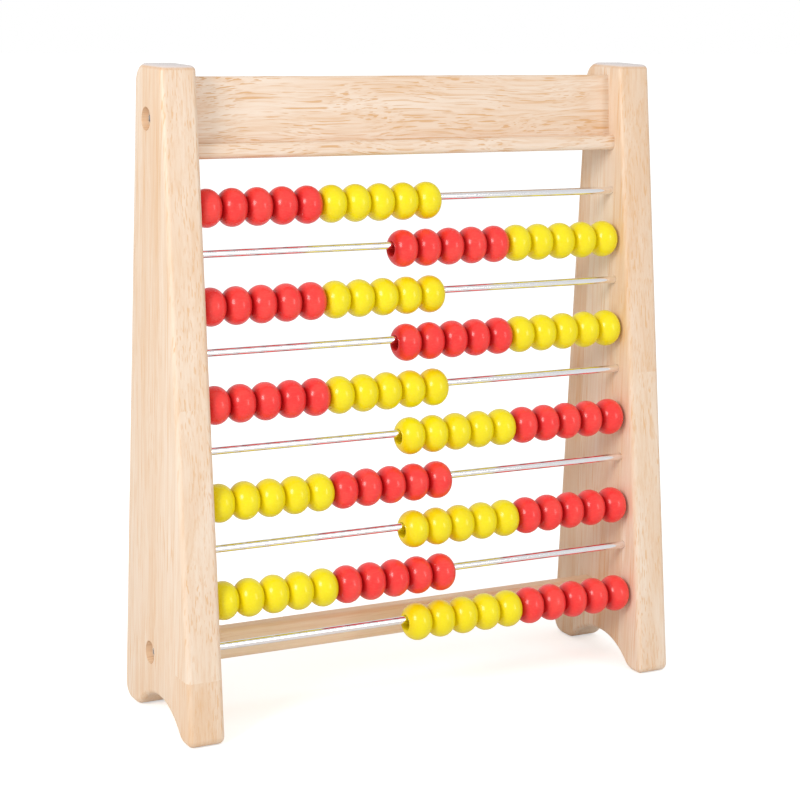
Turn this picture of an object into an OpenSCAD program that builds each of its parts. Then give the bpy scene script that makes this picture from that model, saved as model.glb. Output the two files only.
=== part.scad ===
// Wooden counting frame: ten steel rods between two side panels, each rod with ten turned beads.
// Millimetres. X runs along the rods, -Y is the front, Z is up.
// Origin: on the floor, midway between the panels and midway between their front and back feet.

/* [Beads] */
// Diameter of a bead
bead_d = 20; // [17:0.5:23]
// Length of a bead along its rod
bead_l = 13.95; // [12:0.05:16]
// How much larger the rounded side's radius is than half the bead's length
bead_side_relief = 0.28; // [0.1:0.02:0.5]
// Diameter of the bead's bore
bead_bore_d = 7.8; // [6:0.1:8.4]
// Radius of the rounded mouth of the bore
bead_mouth_r = 0.8; // [0.4:0.1:0.9]
// Free gap between neighbouring beads, and between a bead and a panel
bead_gap = 0.1; // [0.05:0.01:0.3]
// Free gap left between the bore and the rod on which the bead hangs
hang_gap = 0.06; // [0.05:0.01:0.2]
// Beads of one colour on a rod
beads_per_colour = 5; // [2:1:6]
// Length of bare rod that a row can slide across
slide_travel = 111.2; // [60:0.1:150]

/* [Rods] */
// Number of rods
row_count = 10; // [10:1:10]
// Diameter of a rod
rod_d = 4; // [3:0.1:4.6]
// Clear height between the beads of neighbouring rows
row_gap = 4.7; // [2:0.1:9]
// Height of the lowest rod above the floor
row_low_z = 45.5; // [38:0.1:60]
// Distance of the rods behind the panels' front edges
rod_setback = 12.9; // [11:0.1:15]
// Depth of the blind sockets that hold the rods
socket_depth = 10; // [6:0.5:13]
// Radial clearance of a rod in its socket
socket_clearance = 0.08; // [0.02:0.01:0.1]
// Free gap at each end of a rod
rod_end_gap = 0.3; // [0.1:0.1:1]
// Chamfer on the rod's ends
rod_chamfer = 0.4; // [0.2:0.1:0.8]

/* [Side panels] */
// Thickness of the side panels
panel_t = 19.5; // [17:0.5:24]
// Depth of a panel over its feet
foot_depth = 90.4; // [84:0.1:110]
// Angle at which the front edges lean back
front_lean = 7.6; // [5:0.1:9]
// Angle at which the back edges lean forward
back_lean = 2; // [0.5:0.1:3]
// Radius of the top corner at the front
top_front_r = 3.3; // [3.2:0.1:6]
// Radius of the top corner at the back
top_back_r = 10; // [6:0.5:12]
// Radius of the front corner of the front foot
foot_front_r = 4; // [3.5:0.5:8]
// Radius of the back corner of the back foot
foot_back_r = 8.5; // [6:0.5:10]
// Radius of the inner corner of each foot
foot_inner_r = 10.5; // [8:0.5:12]
// Height of the arch between the feet
arch_h = 13.8; // [12:0.1:16]
// Radius of the arch
arch_r = 37.5; // [35:0.5:40]
// Distance of the arch in front of the middle of the feet
arch_shift = 3; // [1:0.1:4]
// Radius of the rounding round all edges of a panel
edge_r = 3; // [2:0.1:3.1]
// Height of the panels above the top rail
panel_rise = 5.8; // [5:0.1:12]

/* [Top rail] */
// Height of the top rail
top_rail_h = 41.5; // [36:0.1:60]
// Thickness of the top rail behind its ledge
top_rail_t = 19.5; // [16:0.5:20]
// Angle at which the top rail leans back
rail_lean = 4.9; // [0:0.1:7]
// Distance of its front face, at the lower edge, behind the middle of the feet
top_rail_y = 6.6; // [5:0.1:8]
// Height of the ledge along the rail's lower front edge
ledge_h = 7.8; // [5:0.1:14]
// How far the ledge stands forward
ledge_depth = 5.6; // [3:0.1:7]
// Rounding of the ledge's lower front edge
ledge_nose_r = 2.4; // [1:0.1:3.5]
// Rounding of the rail's other edges
rail_edge_r = 1.5; // [0.8:0.1:2.5]
// Clear height between the top row's beads and the top rail
carry_gap = 14.4; // [8:0.1:30]

/* [Bottom rail] */
// Height of the bottom rail
bottom_rail_h = 16.5; // [14:0.1:24]
// Thickness of the bottom rail
bottom_rail_t = 11; // [9:0.5:16]
// Height of the bottom rail above the floor
bottom_rail_z = 26.2; // [24:0.1:34]
// Distance of its front face behind the middle of the feet
bottom_rail_y = 3.9; // [0:0.1:8]
// Rounding of the bottom rail's edges
bottom_rail_r = 3; // [1.5:0.5:4]

/* [Screws and dowels] */
// Diameter of the counterbores in the outer faces
counterbore_d = 12; // [10:0.5:13]
// Depth of the counterbores
counterbore_depth = 5; // [4:0.5:8]
// Diameter of the screw heads
screw_head_d = 9.4; // [8:0.1:9.8]
// Height of the screw heads
screw_head_h = 2.6; // [2:0.1:3.5]
// Width across the flats of the socket in the heads
hex_key = 4; // [3:0.5:5]
// Depth of the socket in the heads
hex_depth = 1.8; // [1:0.1:1.9]
// Diameter of the screw shanks
screw_d = 4.5; // [3.5:0.1:5.5]
// Length of the shank inside the rail
screw_grip = 28; // [15:1:40]
// Radial clearance round the shank in the panel
panel_hole_clearance = 0.25; // [0.1:0.05:0.5]
// Radial clearance round the shank in the rail, where the thread bites
rail_hole_clearance = 0.05; // [0.02:0.01:0.1]
// Diameter of the dowels that locate the top rail
dowel_d = 8; // [6:0.5:8]
// Length of a dowel on each side of the joint
dowel_reach = 12; // [8:0.5:14]
// Distance of each dowel above and below the screw
dowel_offset = 12.5; // [10:0.5:13]
// Radial clearance of a dowel in its hole
dowel_clearance = 0.05; // [0.02:0.01:0.1]
// Free gap at each end of a dowel, and past the screw's tip
blind_gap = 0.5; // [0.3:0.1:1]

/* [Hidden] */
$fn = 64;
over = 0.5;              // how far a cut runs past the face it opens
graze = 0.02;            // how much larger a panel's rounds are cut, so that they cross what they meet
run_on = 1;              // how far a straight round runs on into the curved one after it

red = [0.93, 0.13, 0.12];
yellow = [0.97, 0.82, 0.08];
wood = [0.93, 0.80, 0.64];
rail_wood = [0.91, 0.76, 0.58];
steel = [0.80, 0.81, 0.83];
dowel_wood = [0.82, 0.66, 0.46];

// Along the rods
bead_pitch = bead_l + bead_gap;
beads_per_row = 2 * beads_per_colour;
inner_w = beads_per_row * bead_pitch + bead_gap + slide_travel;
inner_x = inner_w / 2;                    // inner face of the right panel
outer_x = inner_x + panel_t;              // outer face of the right panel

// Up the frame
row_pitch = bead_d + row_gap;
row_top_z = row_low_z + (row_count - 1) * row_pitch;
bead_drop = (bead_bore_d - rod_d) / 2 - hang_gap;
top_rail_z = row_top_z - bead_drop + bead_d / 2 + carry_gap;
panel_h = top_rail_z + top_rail_h + panel_rise;

// The panel's outline is all straight stretches and arcs: leaning front and back edges, two
// rounded top corners, and two rounded feet that blend into the arch. Points are [y, z].
foot_front_c = [foot_front_r - foot_depth / 2, foot_front_r];
foot_back_c = [foot_depth / 2 - foot_back_r, foot_back_r];
function front_y(z) =
    foot_front_c[0] - foot_front_r / cos(front_lean) + tan(front_lean) * (z - foot_front_r);
function back_y(z) =
    foot_back_c[0] + foot_back_r / cos(back_lean) - tan(back_lean) * (z - foot_back_r);
top_front_z = panel_h - top_front_r;
top_front_c = [front_y(top_front_z) + top_front_r / cos(front_lean), top_front_z];
top_back_z = panel_h - top_back_r;
top_back_c = [back_y(top_back_z) - top_back_r / cos(back_lean), top_back_z];
arch_c = [-arch_shift, arch_h - arch_r];
inner_rise = foot_inner_r - arch_c[1];
inner_reach = sqrt(pow(arch_r + foot_inner_r, 2) - pow(inner_rise, 2));
inner_front_c = arch_c + [-inner_reach, inner_rise];
inner_back_c = arch_c + [inner_reach, inner_rise];
blend = atan2(inner_rise, inner_reach);   // where the arch runs into a foot's inner corner

// The outline's rounds in order: centre, radius, and the angles between which each runs
rounds = [
    [foot_front_c, foot_front_r, 180 - front_lean, 270],
    [inner_front_c, foot_inner_r, 270, 360 - blend],
    [inner_back_c, foot_inner_r, 180 + blend, 270],
    [foot_back_c, foot_back_r, -90, back_lean],
    [top_back_c, top_back_r, back_lean, 90],
    [top_front_c, top_front_r, 90, 180 - front_lean]
];
before_arch = 1;         // the round that the arch follows, where all others lead into a straight

// Rows are numbered from the top
function row_z(row) = row_low_z + (row_count - row) * row_pitch;
function row_y(row) = front_y(row_z(row)) + rod_setback;
function red_is_left(row) = row <= row_count / 2;
function rests_left(row) = row % 2 == 1;

// Screw lines. The top rail's own directions lean back with it.
rail_back = [cos(rail_lean), -sin(rail_lean)];
rail_up = [sin(rail_lean), cos(rail_lean)];
top_screw = [top_rail_y, top_rail_z] + top_rail_t / 2 * rail_back + top_rail_h / 2 * rail_up;
bottom_screw = [bottom_rail_y + bottom_rail_t / 2, bottom_rail_z + bottom_rail_h / 2];
dowel_lines = [for (side = [1, -1]) top_screw + side * dowel_offset * rail_up];

function two_digits(n) = n < 10 ? str("0", n) : str(n);
function rod_name(row) = str("rod_", two_digits(row));
function bead_name(row, colour) = str("row_", two_digits(row), "_", colour, "_beads");

// ---------- side panels ----------

function on_arc(centre, r, a) = centre + r * [cos(a), sin(a)];
function round_start(i) = on_arc(rounds[i][0], rounds[i][1], rounds[i][2]);
function round_end(i) = on_arc(rounds[i][0], rounds[i][1], rounds[i][3]);

// What a round takes off a sharp corner of an outline, between two angles seen from its centre
module corner_waste(centre, r, from, to) {
    half = (to - from) / 2;
    translate(centre) rotate(from + half + 180) difference() {
        polygon([
            [0, 0],
            (r + over) * [-cos(half), sin(half)],
            [-r / cos(half) - over, 0],
            (r + over) * [-cos(half), -sin(half)]
        ]);
        circle(r = r + graze);
    }
}

module panel_outline() {
    difference() {
        polygon([
            [front_y(0), 0], [back_y(0), 0],
            [back_y(panel_h), panel_h], [front_y(panel_h), panel_h]
        ]);
        translate(arch_c) circle(r = arch_r);
        for (turn = rounds) corner_waste(turn[0], turn[1], turn[2], turn[3]);
    }
}

// What a round of radius edge_r takes off a square edge; the wood lies at +x, +y
module edge_waste() {
    difference() {
        translate([-over, -over]) square(edge_r + over);
        translate([edge_r, edge_r]) circle(r = edge_r + graze);
    }
}

// Waste along a straight stretch of the outline from p to q, with the wood on its left
module straight_waste(p, q) {
    way = q - p;
    translate(p) rotate(atan2(way[1], way[0])) translate([-run_on, 0, 0]) rotate([90, 0, 90])
        linear_extrude(height = norm(way) + 2 * run_on) edge_waste();
}

// Waste round an arc of the outline whose wood lies inside it
module arc_waste(centre, r, from, to) {
    translate(centre) rotate(from) rotate_extrude(angle = to - from)
        translate([r + graze, 0]) mirror([1, 0]) edge_waste();
}

// Waste round the arch, whose wood lies outside it
module arch_waste() {
    start = blend - run_on / arch_r * 180 / PI;
    translate(arch_c) rotate(start) rotate_extrude(angle = 180 - 2 * start)
        translate([arch_r, 0]) edge_waste();
}

// Everything but the arch's part that the rounding takes off the face z = 0 of the board
module face_waste() {
    for (turn = rounds) arc_waste(turn[0], turn[1], turn[2], turn[3]);
    for (i = [0:len(rounds) - 1]) if (i != before_arch)
        straight_waste(round_end(i), round_start((i + 1) % len(rounds)));
}

module on_both_faces() {
    children();
    translate([0, 0, panel_t]) mirror([0, 0, 1]) children();
}

// The panel's board, from x = 0 to its thickness, with all its edges rounded
module rounded_board() {
    rotate([90, 0, 90]) difference() {
        difference() {
            linear_extrude(height = panel_t) panel_outline();
            on_both_faces() arch_waste();
        }
        on_both_faces() face_waste();
    }
}

// A cylinder along +X from the point [x, y, z]
module along_x(x, yz, d, length) {
    translate([x, yz[0], yz[1]]) rotate([0, 90, 0]) cylinder(d = d, h = length);
}

// The right-hand panel; the left one is its mirror image
module side_panel() {
    color(wood) difference() {
        translate([inner_x, 0, 0]) rounded_board();
        for (row = [1:row_count])
            along_x(inner_x - over, [row_y(row), row_z(row)],
                    rod_d + 2 * socket_clearance, socket_depth + over);
        for (screw = [top_screw, bottom_screw]) {
            along_x(inner_x - over, screw, screw_d + 2 * panel_hole_clearance, panel_t + 2 * over);
            along_x(outer_x - counterbore_depth, screw, counterbore_d, counterbore_depth + over);
        }
        for (line = dowel_lines)
            along_x(inner_x - over, line, dowel_d + 2 * dowel_clearance, dowel_reach + blind_gap + over);
    }
}

// ---------- rails ----------

// Trims a square corner at p to radius r; the wood lies towards [sy, sz]
module corner_trim(p, r, sy, sz) {
    translate(p) difference() {
        translate([sy > 0 ? -over : -r, sz > 0 ? -over : -r]) square(r + over);
        translate([sy * r, sz * r]) circle(r = r);
    }
}

// A rail from panel to panel, extruded from its section in the YZ plane
module rail_bar() {
    translate([-inner_x, 0, 0]) rotate([90, 0, 90]) linear_extrude(height = inner_w) children();
}

module rail_hole(screw) {
    depth = screw_grip + blind_gap;
    for (x = [-inner_x - over, inner_x - depth])
        along_x(x, screw, screw_d + 2 * rail_hole_clearance, depth + over);
}

// Drawn upright from the rail's lower front corner, then leant back
module top_rail_section() {
    translate([top_rail_y, top_rail_z]) rotate(-rail_lean) difference() {
        union() {
            square([top_rail_t, top_rail_h]);
            translate([-ledge_depth, 0]) square([ledge_depth + over, ledge_h]);
        }
        corner_trim([-ledge_depth, 0], ledge_nose_r, 1, 1);
        corner_trim([-ledge_depth, ledge_h], rail_edge_r, 1, -1);
        corner_trim([0, top_rail_h], rail_edge_r, 1, -1);
        corner_trim([top_rail_t, top_rail_h], rail_edge_r, -1, -1);
        corner_trim([top_rail_t, 0], rail_edge_r, -1, 1);
    }
}

module top_rail() {
    depth = dowel_reach + blind_gap;
    color(rail_wood) difference() {
        rail_bar() top_rail_section();
        rail_hole(top_screw);
        for (line = dowel_lines) for (x = [-inner_x - over, inner_x - depth])
            along_x(x, line, dowel_d + 2 * dowel_clearance, depth + over);
    }
}

module bottom_rail_section() {
    difference() {
        translate([bottom_rail_y, bottom_rail_z]) square([bottom_rail_t, bottom_rail_h]);
        for (end = [[0, 1], [bottom_rail_t, -1]]) {
            corner_trim([bottom_rail_y + end[0], bottom_rail_z], bottom_rail_r, end[1], 1);
            corner_trim([bottom_rail_y + end[0], bottom_rail_z + bottom_rail_h], bottom_rail_r, end[1], -1);
        }
    }
}

module bottom_rail() {
    color(rail_wood) difference() {
        rail_bar() bottom_rail_section();
        rail_hole(bottom_screw);
    }
}

// ---------- screws and dowels ----------

// A socket-head screw on the right-hand side, its head seated in the counterbore
module rail_screw(screw) {
    seat_x = outer_x - counterbore_depth;
    head_round = screw_head_h / 3;
    color(steel) difference() {
        union() {
            along_x(seat_x, screw, screw_head_d, screw_head_h - head_round);
            translate([seat_x + screw_head_h - head_round, screw[0], screw[1]]) rotate([0, 90, 0])
                cylinder(d1 = screw_head_d, d2 = screw_head_d - 2 * head_round, h = head_round);
            along_x(inner_x - screw_grip, screw, screw_d, screw_grip + seat_x - inner_x + over);
        }
        translate([seat_x + screw_head_h - hex_depth, screw[0], screw[1]]) rotate([0, 90, 0])
            cylinder(d = hex_key / cos(30), h = hex_depth + over, $fn = 6);
    }
}

module dowel(line) {
    color(dowel_wood) along_x(inner_x - dowel_reach, line, dowel_d, 2 * dowel_reach);
}

// ---------- rods ----------

module rod(row) {
    length = inner_w + 2 * (socket_depth - rod_end_gap);
    color(steel) translate([-length / 2, row_y(row), row_z(row)]) rotate([0, 90, 0]) {
        translate([0, 0, rod_chamfer]) cylinder(d = rod_d, h = length - 2 * rod_chamfer);
        cylinder(d1 = rod_d - 2 * rod_chamfer, d2 = rod_d, h = rod_chamfer);
        translate([0, 0, length - rod_chamfer])
            cylinder(d1 = rod_d, d2 = rod_d - 2 * rod_chamfer, h = rod_chamfer);
    }
}

// ---------- beads ----------

// Half section of a bead: x is the distance from its axis, y runs along the rod
module bead_section() {
    bore_r = bead_bore_d / 2;
    side_r = bead_l / 2 + bead_side_relief;
    difference() {
        intersection() {
            translate([bead_d / 2 - side_r, 0]) circle(r = side_r);
            translate([bore_r, -bead_l / 2]) square([bead_d / 2, bead_l]);
        }
        for (end = [1, -1]) translate([bore_r, end * bead_l / 2]) difference() {
            translate([-over, end > 0 ? -bead_mouth_r : -over]) square(bead_mouth_r + over);
            translate([bead_mouth_r, -end * bead_mouth_r]) circle(r = bead_mouth_r);
        }
    }
}

module bead() {
    rotate([0, 90, 0]) rotate_extrude() bead_section();
}

// The five beads of one colour in a row, hanging on their rod
module bead_run(row, colour) {
    on_left = (colour == "red") == red_is_left(row);
    row_start = rests_left(row)
        ? bead_gap - inner_x
        : inner_x - beads_per_row * bead_pitch;
    run_start = row_start + (on_left ? 0 : beads_per_colour * bead_pitch);
    color(colour == "red" ? red : yellow)
        for (i = [0:beads_per_colour - 1])
            translate([run_start + i * bead_pitch + bead_l / 2, row_y(row), row_z(row) - bead_drop])
                bead();
}

// ---------- nodes ----------

mirror([1, 0, 0]) side_panel();  // left_side_panel
side_panel();  // right_side_panel
top_rail();
bottom_rail();
mirror([1, 0, 0]) rail_screw(top_screw);  // left_top_screw
rail_screw(top_screw);  // right_top_screw
mirror([1, 0, 0]) rail_screw(bottom_screw);  // left_bottom_screw
rail_screw(bottom_screw);  // right_bottom_screw
mirror([1, 0, 0]) dowel(dowel_lines[0]);  // left_upper_dowel
mirror([1, 0, 0]) dowel(dowel_lines[1]);  // left_lower_dowel
dowel(dowel_lines[0]);  // right_upper_dowel
dowel(dowel_lines[1]);  // right_lower_dowel
for (row = [1:row_count]) rod(row);
for (row = [1:row_count]) for (colour = ["red", "yellow"])
    bead_run(row, colour);
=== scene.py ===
import math

import bpy
from mathutils import Matrix, Vector


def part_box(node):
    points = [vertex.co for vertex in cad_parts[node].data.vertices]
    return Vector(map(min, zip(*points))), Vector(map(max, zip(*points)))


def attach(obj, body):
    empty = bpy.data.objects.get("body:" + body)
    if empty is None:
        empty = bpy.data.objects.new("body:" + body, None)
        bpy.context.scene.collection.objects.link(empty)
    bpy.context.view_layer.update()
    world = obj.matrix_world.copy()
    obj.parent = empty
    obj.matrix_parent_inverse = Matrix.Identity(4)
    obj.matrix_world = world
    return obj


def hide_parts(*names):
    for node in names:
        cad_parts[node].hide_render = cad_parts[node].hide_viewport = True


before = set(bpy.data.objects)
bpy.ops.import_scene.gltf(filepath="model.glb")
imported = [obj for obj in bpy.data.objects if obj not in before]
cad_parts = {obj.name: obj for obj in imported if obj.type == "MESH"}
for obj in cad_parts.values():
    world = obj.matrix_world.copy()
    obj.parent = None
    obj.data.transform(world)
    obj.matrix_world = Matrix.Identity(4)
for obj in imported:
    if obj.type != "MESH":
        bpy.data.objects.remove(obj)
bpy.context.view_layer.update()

MM = 0.001
SIDES = ("left", "right")
ROWS = range(1, 11)

# ---------- sizes of the beads ----------

BEADS_IN_RUN = 5
BEAD_LENGTH = 13.95 * MM
BEAD_RADIUS = 10.0 * MM
BORE_RADIUS = 3.9 * MM
MOUTH_RADIUS = 0.8 * MM
SIDE_RADIUS = BEAD_LENGTH / 2 + 0.28 * MM
SIDE_STEPS = 14
TURNING_STEPS = 32
# Edges that turn by more than this stay crisp, on the beads and below on the copies.
TURNED_EDGE = math.radians(50)
# Faces nearer to the axis than this are bare wood, coloured dark as painted shade in the bore.
BARE_RADIUS = 4.0 * MM
# Painted shade in the seams between beads starts this far from the axis, and is darkest one fade nearer to
# it.
SEAM_SHADE_RADIUS = 9.0 * MM
SEAM_SHADE_FADE = 2.2 * MM
# Degrees that a run's first bead is turned round its rod, and each next one after it.
FIRST_BEAD_TURN = 11
NEXT_BEAD_TURN = 37

# ---------- copies of the frame's pieces ----------

WELD_GAP = 0.002 * MM
SHARP_EDGE = math.radians(35)
# A shade more than the counterbores' own radius, so that their walls are inside it.
COUNTERBORE_REACH = 6.02 * MM

# ---------- how the wood is cut and glued ----------

NO_TURN = (0.0, 0.0, 0.0)
UPRIGHT_GRAIN = (0.0, math.radians(90), 0.0)
SIDEWAYS_GRAIN = (math.radians(90), 0.0, 0.0)
# Timber on either side of the middle counts as another board, and so does each stretch this long.
BOARD_STRETCH_MM = 200.0
# More strips than one board has, so that no two boards share a strip's number.
STRIPS_TO_A_BOARD = 17.0
# The low end of the left panel's front strips is a short piece of its own, butted on.
FOOT_JOINT_MM = 33.0
FRONT_STRIPS = -1.5
FOOT_PIECE_NUMBER = 7.3
# The most that one strip's place in the timber differs from another's, along and through it.
TIMBER_MM = (900.0, 0.0, 400.0)

# ---------- stage ----------

FLOOR_SIZE = 14.0
FLOOR_GAP = 0.2 * MM
FLOOR_GREY = 0.83
FLOOR_GLOW = 0.5
WORLD_LIGHT = 0.74
OBJECT_MIDDLE = (0, 0, 0.17)
CAMERA_PLACE = (-0.52986, -0.96058, 0.39024)
# Degrees of yaw, pitch and roll.
CAMERA_TURN = (28.527, 9.7331, 1.4199)
CAMERA_LENS = 93.737
CAMERA_SHIFT = -0.1


# ---------- building shader trees ----------

def shader_node(tree, kind, inputs=None, **settings):
    """Adds a node, sets its options, and fills its inputs with values or links."""
    made = tree.nodes.new(kind)
    for name, value in settings.items():
        setattr(made, name, value)
    for key, value in (inputs or {}).items():
        if isinstance(value, bpy.types.NodeSocket):
            tree.links.new(value, made.inputs[key])
        else:
            made.inputs[key].default_value = value
    return made


def maths(tree, operation, *values):
    """A Math node's result."""
    return shader_node(tree, "ShaderNodeMath", dict(enumerate(values)), operation=operation).outputs[0]


def vector_maths(tree, operation, *values):
    """A Vector Math node's result."""
    made = shader_node(tree, "ShaderNodeVectorMath", dict(enumerate(values)), operation=operation)
    return made.outputs[0]


def cloud(tree, vector, cells, detail, roughness):
    """Noise between 0 and 1, with so many cells to a unit of the vector along each of its axes."""
    made = shader_node(tree, "ShaderNodeTexNoise",
                       {"Vector": vector_maths(tree, "MULTIPLY", vector, cells), "Scale": 1.0,
                        "Detail": detail, "Roughness": roughness})
    return made.outputs["Fac"]


def ramp(tree, value, low, high):
    """0 below low, 1 above high, with a soft step between them."""
    made = shader_node(tree, "ShaderNodeMapRange",
                       {"Value": value, "From Min": low, "From Max": high}, interpolation_type="SMOOTHSTEP")
    return made.outputs["Result"]


def blend_colours(tree, share, first, second):
    """The first colour blended towards the second by a share."""
    return shader_node(tree, "ShaderNodeMix", {0: share, 6: first, 7: second}, data_type="RGBA").outputs[2]


def new_effect(name, colours, amounts=()):
    """A group from a vector in millimetres to a finish; gives its inputs and its results' sockets too."""
    group = bpy.data.node_groups.new(name, "ShaderNodeTree")
    group.interface.new_socket("Vector", in_out="INPUT", socket_type="NodeSocketVector")
    for label in colours:
        group.interface.new_socket(label, in_out="INPUT", socket_type="NodeSocketColor")
    for label in amounts:
        group.interface.new_socket(label, in_out="INPUT", socket_type="NodeSocketFloat")
    for label, kind in (("Color", "Color"), ("Roughness", "Float"), ("Height", "Float")):
        group.interface.new_socket(label, in_out="OUTPUT", socket_type="NodeSocket" + kind)
    return group, group.nodes.new("NodeGroupInput").outputs, group.nodes.new("NodeGroupOutput").inputs


# ---------- effects that several materials share ----------

def foot_piece(group, axes, strip, foot_tone):
    """1 in the left panel's butted foot piece and 0 elsewhere, in a wood that has a foot tone."""
    low = maths(group, "LESS_THAN", axes[0], FOOT_JOINT_MM)
    in_front = maths(group, "LESS_THAN", strip, FRONT_STRIPS)
    on_left = maths(group, "GREATER_THAN", axes[2], 0.0)
    wanted = maths(group, "GREATER_THAN", foot_tone, 0.0)
    return maths(group, "MULTIPLY", maths(group, "MULTIPLY", low, in_front),
                 maths(group, "MULTIPLY", on_left, wanted))


def timber_place(group, given, chance):
    """Where in the timber a point of a strip was cut from, with the grain's slow wander."""
    jump = vector_maths(group, "MULTIPLY", chance.outputs["Color"], TIMBER_MM)
    timber = vector_maths(group, "ADD", given["Vector"], jump)
    drift = cloud(group, timber, (0.014, 0.05, 0.05), detail=0.0, roughness=0.5)
    wander = maths(group, "MULTIPLY", maths(group, "SUBTRACT", drift, 0.5), given["Wander"])
    aside = shader_node(group, "ShaderNodeCombineXYZ", {1: wander, 2: wander})
    return vector_maths(group, "ADD", timber, aside.outputs[0])


def rubberwood_effect():
    """Pale glued-up rubberwood with its grain along X."""
    group, given, result = new_effect(
        "rubberwood", ("Pale", "Deep", "Pore"),
        ("Strip Width", "Strip Tone", "Wander", "Streaks", "Pores", "Foot Tone"))
    axes = shader_node(group, "ShaderNodeSeparateXYZ", {0: given["Vector"]}).outputs
    strip = maths(group, "FLOOR", maths(group, "DIVIDE", axes[1], given["Strip Width"]))
    board = maths(group, "FLOOR", maths(group, "DIVIDE", axes[2], BOARD_STRETCH_MM))
    foot = foot_piece(group, axes, strip, given["Foot Tone"])
    number = maths(group, "MULTIPLY_ADD", board, STRIPS_TO_A_BOARD, strip)
    number = maths(group, "MULTIPLY_ADD", foot, FOOT_PIECE_NUMBER, number)
    chance = shader_node(group, "ShaderNodeTexWhiteNoise", {"W": number}, noise_dimensions="1D")
    timber = timber_place(group, given, chance)

    broad = cloud(group, timber, (0.007, 0.10, 0.10), detail=2.0, roughness=0.5)
    streak = cloud(group, timber, (0.018, 0.55, 0.75), detail=4.0, roughness=0.62)
    fine = cloud(group, timber, (0.10, 2.4, 2.8), detail=2.0, roughness=0.6)
    dash = cloud(group, timber, (0.023, 1.35, 1.45), detail=1.0, roughness=0.5)
    patch = cloud(group, timber, (0.02, 0.09, 0.09), detail=2.0, roughness=0.55)
    pores = maths(group, "MULTIPLY", ramp(group, dash, 0.57, 0.65), ramp(group, patch, 0.30, 0.56))
    pores = maths(group, "MULTIPLY", pores, given["Pores"])

    # Each layer darkens the wood by its own share.
    tone = maths(group, "MULTIPLY", chance.outputs["Value"], given["Strip Tone"])
    for layer, share in ((ramp(group, broad, 0.3, 0.72), 0.30),
                         (ramp(group, streak, 0.40, 0.74), given["Streaks"]),
                         (fine, 0.22),
                         (foot, given["Foot Tone"])):
        tone = maths(group, "MULTIPLY_ADD", layer, share, tone)
    wood = blend_colours(group, tone, given["Pale"], given["Deep"])

    group.links.new(blend_colours(group, pores, wood, given["Pore"]), result["Color"])
    group.links.new(maths(group, "MULTIPLY_ADD", streak, 0.2, 0.34), result["Roughness"])
    group.links.new(maths(group, "SUBTRACT", maths(group, "MULTIPLY", fine, 0.4), pores), result["Height"])
    return group


def dipped_lacquer_effect():
    """Dipped lacquer over turned wood: faint grain, thin and thick places, and a soft orange peel."""
    group, given, result = new_effect("dipped_lacquer", ("Full", "Thin"))
    grain = cloud(group, given["Vector"], (0.15, 1.4, 1.4), detail=3.0, roughness=0.6)
    pool = cloud(group, given["Vector"], (0.09, 0.09, 0.09), detail=1.0, roughness=0.5)
    peel = cloud(group, given["Vector"], (0.9, 1.2, 1.2), detail=3.0, roughness=0.6)
    thin = maths(group, "MULTIPLY_ADD", ramp(group, pool, 0.35, 0.65), 0.4,
                 maths(group, "MULTIPLY", ramp(group, grain, 0.45, 0.7), 0.35))
    group.links.new(blend_colours(group, thin, given["Full"], given["Thin"]), result["Color"])
    group.links.new(maths(group, "MULTIPLY_ADD", peel, 0.16, 0.27), result["Roughness"])
    group.links.new(maths(group, "MULTIPLY_ADD", grain, 0.25, peel), result["Height"])
    return group


def ground_steel_effect():
    """Ground steel: fine lines round the X axis, and a little uneven wear."""
    group, given, result = new_effect("ground_steel", ("Bright", "Dull"), ("Base Roughness",))
    lines = cloud(group, given["Vector"], (6.0, 0.15, 0.15), detail=2.0, roughness=0.7)
    wear = cloud(group, given["Vector"], (0.02, 0.2, 0.2), detail=1.0, roughness=0.5)
    dull = maths(group, "MULTIPLY", wear, 0.3)
    rough = maths(group, "MULTIPLY_ADD", lines, 0.02, given["Base Roughness"])
    group.links.new(blend_colours(group, dull, given["Bright"], given["Dull"]), result["Color"])
    group.links.new(maths(group, "MULTIPLY_ADD", wear, 0.02, rough), result["Roughness"])
    group.links.new(lines, result["Height"])
    return group


# ---------- materials ----------

def finish_from(name, effect, values, relief_mm, grain_turn=NO_TURN, surface=None):
    """A material with a shared effect's colour, roughness and relief; surface sets its plain sockets."""
    made = bpy.data.materials.new(name)
    made.use_nodes = True
    tree = made.node_tree
    shader = tree.nodes["Principled BSDF"]
    place = shader_node(tree, "ShaderNodeTexCoord")
    in_mm = shader_node(tree, "ShaderNodeMapping",
                        {"Vector": place.outputs["Object"], "Rotation": grain_turn,
                         "Scale": (1 / MM, 1 / MM, 1 / MM)},
                        vector_type="POINT")
    pattern = shader_node(tree, "ShaderNodeGroup", {"Vector": in_mm.outputs[0], **values}, node_tree=effect)
    relief = shader_node(tree, "ShaderNodeBump",
                         {"Height": pattern.outputs["Height"], "Distance": relief_mm * MM, "Strength": 1.0})
    tree.links.new(pattern.outputs["Color"], shader.inputs["Base Color"])
    tree.links.new(pattern.outputs["Roughness"], shader.inputs["Roughness"])
    tree.links.new(relief.outputs["Normal"], shader.inputs["Normal"])
    for key, value in (surface or {}).items():
        shader.inputs[key].default_value = value
    return made


def blend_over(material, share, colour):
    """Blends a colour over what a material has had as its colour so far."""
    tree = material.node_tree
    base = tree.nodes["Principled BSDF"].inputs["Base Color"]
    tree.links.new(blend_colours(tree, share, base.links[0].from_socket, colour), base)


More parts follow.
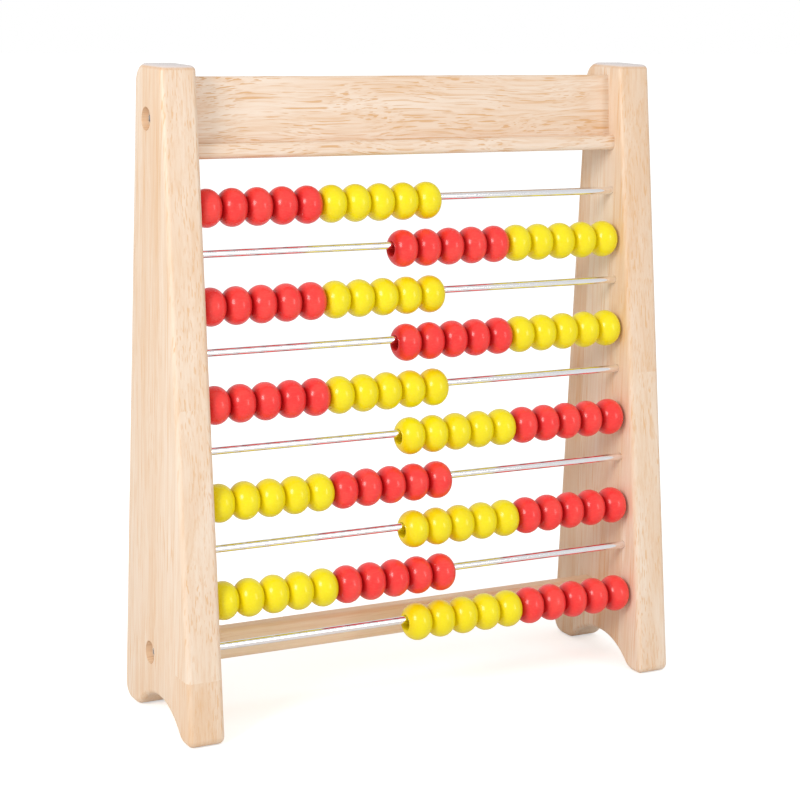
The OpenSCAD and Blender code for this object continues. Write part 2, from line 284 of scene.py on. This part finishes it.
def paint_top_sheen_and_rim(board):
    """Ends that face up are darker brown at their rounded rim, glossier, and greyer as a painted sheen."""
    tree = board.node_tree
    facing = shader_node(tree, "ShaderNodeTexCoord").outputs["Normal"]
    up = shader_node(tree, "ShaderNodeSeparateXYZ", {0: facing}).outputs[2]
    rim = ramp(tree, up, 0.1, 0.45)
    flat = ramp(tree, up, 0.5, 0.85)
    brown = (0.66, 0.37, 0.19, 1)
    painted_sheen_grey = (0.74, 0.68, 0.68, 1)
    blend_over(board, maths(tree, "MULTIPLY", rim, 0.4), brown)
    # Painted sheen: flat tops blend to a light grey that stands in for the reflection on them.
    blend_over(board, maths(tree, "MULTIPLY", flat, 0.85), painted_sheen_grey)
    coat = tree.nodes["Principled BSDF"].inputs["Coat Weight"]
    tree.links.new(maths(tree, "MULTIPLY_ADD", flat, 0.6, coat.default_value), coat)


def sealed_wood(name, effect, grain_turn, values):
    """Wood under a thin clear coat."""
    return finish_from(name, effect, values, relief_mm=0.04, grain_turn=grain_turn,
                       surface={"Coat Weight": 0.1, "Coat Roughness": 0.22})


def panel_wood(effect):
    """The side panels' boards, glued up from upright strips."""
    board = sealed_wood("panel_rubberwood", effect, UPRIGHT_GRAIN,
                        {"Pale": (0.86, 0.73, 0.60, 1), "Deep": (0.72, 0.45, 0.245, 1),
                         "Pore": (0.72, 0.41, 0.18, 1), "Strip Width": 23.3, "Strip Tone": 0.34,
                         "Wander": 5.0, "Streaks": 0.30, "Pores": 0.66, "Foot Tone": 0.14})
    paint_top_sheen_and_rim(board)
    return board


def rail_wood(effect):
    """The top rail, with its grain from side to side."""
    return sealed_wood("rail_rubberwood", effect, SIDEWAYS_GRAIN,
                       {"Pale": (0.86, 0.73, 0.61, 1), "Deep": (0.72, 0.44, 0.235, 1),
                        "Pore": (0.66, 0.35, 0.13, 1), "Strip Width": 60.0, "Strip Tone": 0.1,
                        "Wander": 15.0, "Streaks": 0.44, "Pores": 0.8})


def bar_wood(effect):
    """The bottom rail: a straight, plain and lighter stick."""
    return sealed_wood("bar_rubberwood", effect, SIDEWAYS_GRAIN,
                       {"Pale": (0.97, 0.80, 0.60, 1), "Deep": (0.80, 0.52, 0.28, 1),
                        "Pore": (0.74, 0.44, 0.20, 1), "Strip Width": 60.0, "Strip Tone": 0.1,
                        "Wander": 5.0, "Streaks": 0.3, "Pores": 0.3})


def bare_wood(name, effect, pale, deep, pore):
    """Wood without a finish, mostly out of sight."""
    return finish_from(name, effect,
                       {"Pale": pale, "Deep": deep, "Pore": pore, "Strip Width": 40.0, "Strip Tone": 0.1,
                        "Wander": 2.0, "Streaks": 0.3, "Pores": 0.5},
                       relief_mm=0.08)


def dowel_wood(effect):
    """Plain dowels inside the top joint."""
    return bare_wood("dowel_wood", effect, (0.70, 0.50, 0.30, 1), (0.56, 0.36, 0.19, 1),
                     (0.40, 0.22, 0.10, 1))


def bore_wood(effect):
    """Bare wood inside a bead's bore, where the dip did not reach, coloured much darker as painted shade in
    the bore.
    """
    return bare_wood("bead_bore_wood", effect, (0.40, 0.22, 0.12, 1), (0.28, 0.13, 0.06, 1),
                     (0.15, 0.07, 0.03, 1))


def counterbore_wood(effect):
    """The cut, warmer wood inside the screws' counterbores."""
    return bare_wood("counterbore_wood", effect, (0.92, 0.68, 0.46, 1), (0.80, 0.50, 0.28, 1),
                     (0.62, 0.34, 0.16, 1))


def lacquer(name, effect, full, thin, seam_shade_colour, seam_shade_share):
    """Dipped lacquer with painted shade in the seams between beads, darkening each bead towards its ends.
    """
    made = finish_from(name, effect, {"Full": full, "Thin": thin}, relief_mm=0.22,
                       surface={"Specular IOR Level": 0.08, "Coat Weight": 0.65, "Coat Roughness": 0.2})
    tree = made.node_tree
    # Painted shade in the seams: the colour blends towards the seam colour near each bead's ends.
    seam_shade = shader_node(tree, "ShaderNodeAttribute", attribute_name="painted_seam_shade").outputs["Fac"]
    blend_over(made, maths(tree, "MULTIPLY", seam_shade, seam_shade_share), seam_shade_colour)
    return made


def red_lacquer(effect):
    """A clear red with deep painted shade in the seams."""
    return lacquer("red_lacquer", effect, full=(0.93, 0.038, 0.036, 1), thin=(0.99, 0.084, 0.064, 1),
                   seam_shade_colour=(0.46, 0.0, 0.004, 1), seam_shade_share=0.7)


def yellow_lacquer(effect):
    """A lemon yellow with a light, warmer painted shade in the seams."""
    return lacquer("yellow_lacquer", effect, full=(0.88, 0.73, 0.002, 1), thin=(0.93, 0.82, 0.012, 1),
                   seam_shade_colour=(0.84, 0.60, 0.0, 1), seam_shade_share=0.35)


def rod_steel(effect):
    """The rods' bright ground steel, almost smooth."""
    return finish_from("rod_steel", effect,
                       {"Bright": (0.93, 0.93, 0.95, 1), "Dull": (0.82, 0.81, 0.82, 1),
                        "Base Roughness": 0.10},
                       relief_mm=0.0001, surface={"Metallic": 1.0})


def screw_steel(effect):
    """The screws' duller steel."""
    return finish_from("screw_steel", effect,
                       {"Bright": (0.88, 0.89, 0.91, 1), "Dull": (0.72, 0.72, 0.74, 1),
                        "Base Roughness": 0.18},
                       relief_mm=0.006, surface={"Metallic": 1.0})


# ---------- modelling ----------

def deselect():
    """Leaves edit mode and clears the selection."""
    if bpy.context.object and bpy.context.object.mode != "OBJECT":
        bpy.ops.object.mode_set(mode="OBJECT")
    bpy.ops.object.select_all(action="DESELECT")


def make_active(obj):
    """Selects one object and nothing else."""
    deselect()
    obj.select_set(True)
    bpy.context.view_layer.objects.active = obj


def give_materials(obj, *materials):
    """Gives the object these materials and no others."""
    obj.data.materials.clear()
    for material in materials:
        obj.data.materials.append(material)


def from_axis(point):
    """How far a point is from the X axis."""
    return math.hypot(point.y, point.z)


def turned_on_lathe(name, profile):
    """A closed half section, given as (along X, from the axis) points, spun round the X axis."""
    deselect()
    bpy.ops.mesh.primitive_plane_add(size=MM, location=(0, 0, 0))
    obj = bpy.context.object
    obj.name = obj.data.name = name
    bpy.ops.object.mode_set(mode="EDIT")
    bpy.ops.mesh.select_all(action="SELECT")
    bpy.ops.mesh.merge(type="CENTER")
    x, r = profile[0]
    bpy.ops.transform.translate(value=(x, 0, r))
    for next_x, next_r in profile[1:] + profile[:1]:
        bpy.ops.mesh.extrude_vertices_move(TRANSFORM_OT_translate={"value": (next_x - x, 0, next_r - r)})
        x, r = next_x, next_r
    bpy.ops.mesh.select_all(action="SELECT")
    bpy.ops.mesh.spin(steps=TURNING_STEPS, angle=2 * math.pi, center=(0, 0, 0), axis=(1, 0, 0))
    bpy.ops.mesh.select_all(action="SELECT")
    bpy.ops.mesh.remove_doubles(threshold=WELD_GAP)
    bpy.ops.mesh.normals_make_consistent(inside=False)
    bpy.ops.object.mode_set(mode="OBJECT")
    bpy.ops.object.shade_smooth_by_angle(angle=TURNED_EDGE)
    return obj


def mouth_arc(end, *degrees):
    """Points on the round of a bead's mouth at one end, -1 or 1; 0 degrees is in the bore."""
    return [(end * (BEAD_LENGTH / 2 - MOUTH_RADIUS + MOUTH_RADIUS * math.sin(a)),
             BORE_RADIUS + MOUTH_RADIUS - MOUTH_RADIUS * math.cos(a))
            for a in map(math.radians, degrees)]


def side_arc():
    """Points on the one full arc that is a bead's side, from its right end to its left."""
    reach = math.asin(BEAD_LENGTH / 2 / SIDE_RADIUS)
    angles = (reach - 2 * reach * i / SIDE_STEPS for i in range(SIDE_STEPS + 1))
    return [(SIDE_RADIUS * math.sin(a), BEAD_RADIUS - SIDE_RADIUS + SIDE_RADIUS * math.cos(a))
            for a in angles]


def master_bead():
    """One turned bead at the origin, with dark bare wood in its bore as painted shade, and a mask of
    painted seam shade towards its ends.
    """
    profile = mouth_arc(-1, 0) + mouth_arc(1, 0, 45, 90) + side_arc() + mouth_arc(-1, 90, 45)
    bead = turned_on_lathe("turned_bead", profile)
    for face in bead.data.polygons:
        face.material_index = 1 if from_axis(face.center) < BARE_RADIUS else 0
    # Painted shade in the seams between beads: 0 beyond its radius from the axis, rising to 1 one fade
    # nearer.
    seam_shade = bead.data.attributes.new("painted_seam_shade", "FLOAT", "POINT")
    for point, amount in zip(bead.data.vertices, seam_shade.data):
        amount.value = min(1.0, max(0.0, (SEAM_SHADE_RADIUS - from_axis(point.co)) / SEAM_SHADE_FADE))
    return bead


def bead_run(master, node, *finishes):
    """The five beads of one node, copied from the master and joined into one piece."""
    low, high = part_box(node)
    middle = (low + high) / 2
    pitch = (high.x - low.x - BEAD_LENGTH) / (BEADS_IN_RUN - 1)
    copies = []
    for i in range(BEADS_IN_RUN):
        copy = master.copy()
        copy.data = master.data.copy()
        turn = Matrix.Rotation(math.radians(FIRST_BEAD_TURN + NEXT_BEAD_TURN * i), 4, "X")
        place = Matrix.Translation((low.x + BEAD_LENGTH / 2 + i * pitch, middle.y, middle.z))
        copy.data.transform(place @ turn)
        bpy.context.scene.collection.objects.link(copy)
        copies.append(copy)
    make_active(copies[0])
    for copy in copies:
        copy.select_set(True)
    bpy.ops.object.join()
    run = bpy.context.object
    run.name = run.data.name = node.replace("_beads", "_turned_beads")
    give_materials(run, *finishes)
    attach(run, node)
    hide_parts(node)


def smooth_copy(node, name, body, *materials):
    """A CAD node's own shape, welded and shaded smoothly, to stand for it."""
    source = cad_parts[node]
    copy = bpy.data.objects.new(name, source.data.copy())
    bpy.context.scene.collection.objects.link(copy)
    make_active(copy)
    bpy.ops.mesh.customdata_custom_splitnormals_clear()
    bpy.ops.object.mode_set(mode="EDIT")
    bpy.ops.mesh.select_all(action="SELECT")
    bpy.ops.mesh.remove_doubles(threshold=WELD_GAP)
    bpy.ops.object.mode_set(mode="OBJECT")
    bpy.ops.object.shade_smooth_by_angle(angle=SHARP_EDGE)
    give_materials(copy, *materials)
    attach(copy, body)
    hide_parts(node)
    return copy


def show_cut_wood(board, side):
    """Gives a panel's second material to the faces inside its two counterbores."""
    for level in ("top", "bottom"):
        low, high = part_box(f"{side}_{level}_screw")
        middle = (low + high) / 2
        for face in board.data.polygons:
            if from_axis(face.center - middle) < COUNTERBORE_REACH:
                face.material_index = 1


# ---------- building the stage ----------

def seen_rays(tree):
    """1 for what the camera sees, straight or through something clear, and 0 for other light."""
    rays = shader_node(tree, "ShaderNodeLightPath").outputs
    return maths(tree, "MAXIMUM", rays["Is Camera Ray"], rays["Is Transmission Ray"])


def floor_material():
    """Pale floor that keeps the object's shadow and runs out into the background."""
    made = bpy.data.materials.new("pale_floor")
    made.use_nodes = True
    tree = made.node_tree
    shader = tree.nodes["Principled BSDF"]
    shader.inputs["Base Color"].default_value = (FLOOR_GREY, FLOOR_GREY, FLOOR_GREY, 1)
    shader.inputs["Roughness"].default_value = 0.9
    shader.inputs["Specular IOR Level"].default_value = 0.0
    strength = maths(tree, "MULTIPLY", seen_rays(tree), FLOOR_GLOW)
    glow = shader_node(tree, "ShaderNodeEmission", {"Color": (1, 1, 1, 1), "Strength": strength})
    total = shader_node(tree, "ShaderNodeAddShader", {0: shader.outputs[0], 1: glow.outputs[0]})
    tree.links.new(total.outputs[0], tree.nodes["Material Output"].inputs["Surface"])
    return made


def lay_floor():
    """A wide floor just under the feet."""
    deselect()
    bpy.ops.mesh.primitive_plane_add(size=FLOOR_SIZE, location=(0, 0, -FLOOR_GAP))
    floor = bpy.context.object
    floor.name = "studio_floor"
    give_materials(floor, floor_material())


def light_world():
    """Even white light, and a background that the camera sees as pure white."""
    world = bpy.data.worlds.new("studio")
    bpy.context.scene.world = world
    world.use_nodes = True
    tree = world.node_tree
    back = tree.nodes["Background"]
    back.inputs["Color"].default_value = (1, 1, 1, 1)
    strength = maths(tree, "MULTIPLY_ADD", seen_rays(tree), 1 - WORLD_LIGHT, WORLD_LIGHT)
    tree.links.new(strength, back.inputs["Strength"])


def soft_lamp(name, place, size, power):
    """A rectangular soft light that faces the middle of the object."""
    data = bpy.data.lights.new(name, "AREA")
    data.shape = "RECTANGLE"
    data.size, data.size_y = size
    data.energy = power
    lamp = bpy.data.objects.new(name, data)
    bpy.context.scene.collection.objects.link(lamp)
    lamp.location = place
    lamp.rotation_euler = (Vector(OBJECT_MIDDLE) - Vector(place)).to_track_quat("-Z", "Y").to_euler()


def set_lamps():
    """The main light comes from the left and above, and a weaker one from the front right."""
    soft_lamp("key_softbox", place=(-1.41, -0.66, 0.88), size=(0.52, 0.62), power=12.8)
    soft_lamp("front_softbox", place=(0.67, -1.51, 0.55), size=(0.36, 0.8), power=4.1)


def set_camera():
    """The camera stands to the front left, a little above the frame's top."""
    yaw, pitch, roll = map(math.radians, CAMERA_TURN)
    ahead = Vector((math.sin(yaw) * math.cos(pitch), math.cos(yaw) * math.cos(pitch), -math.sin(pitch)))
    level = Vector((math.cos(yaw), -math.sin(yaw), 0))
    upright = level.cross(ahead)
    right = math.cos(roll) * level + math.sin(roll) * upright
    up = math.cos(roll) * upright - math.sin(roll) * level
    data = bpy.data.cameras.new("camera")
    data.sensor_width = 36.0
    data.lens = CAMERA_LENS
    data.shift_y = CAMERA_SHIFT
    camera = bpy.data.objects.new("camera", data)
    bpy.context.scene.collection.objects.link(camera)
    turn = Matrix((right, up, -ahead)).transposed().to_4x4()
    camera.matrix_world = Matrix.Translation(CAMERA_PLACE) @ turn
    bpy.context.scene.camera = camera


# ---------- the abacus ----------

def dress_frame(wood):
    """The panels, the rails and the dowels, all on the frame's body."""
    boards = panel_wood(wood)
    pins = dowel_wood(wood)
    cut = counterbore_wood(wood)
    for side in SIDES:
        board = smooth_copy(f"{side}_side_panel", f"{side}_panel_board", "frame", boards, cut)
        show_cut_wood(board, side)
        for level in ("upper", "lower"):
            smooth_copy(f"{side}_{level}_dowel", f"{side}_{level}_dowel_pin", "frame", pins)
    smooth_copy("top_rail", "top_rail_board", "frame", rail_wood(wood))
    smooth_copy("bottom_rail", "bottom_rail_bar", "frame", bar_wood(wood))


def dress_metal(steel):
    """The rods, each on its own body, and the screws that hold the rails."""
    bright = rod_steel(steel)
    dull = screw_steel(steel)
    for row in ROWS:
        smooth_copy(f"rod_{row:02d}", f"rod_{row:02d}_bar", f"rod_{row:02d}", bright)
    for side in SIDES:
        for level in ("top", "bottom"):
            smooth_copy(f"{side}_{level}_screw", f"{side}_{level}_rail_screw", "frame", dull)


def dress_beads(dip, wood):
    """Every row's five red and five yellow beads."""
    colours = {"red": red_lacquer(dip), "yellow": yellow_lacquer(dip)}
    bore = bore_wood(wood)
    master = master_bead()
    for row in ROWS:
        for colour, finish in colours.items():
            bead_run(master, f"row_{row:02d}_{colour}_beads", finish, bore)
    bpy.data.objects.remove(master)


bpy.context.scene.view_settings.view_transform = "Standard"
set_camera()
light_world()
set_lamps()
lay_floor()
rubberwood = rubberwood_effect()
dress_frame(rubberwood)
dress_metal(ground_steel_effect())
dress_beads(dipped_lacquer_effect(), rubberwood)
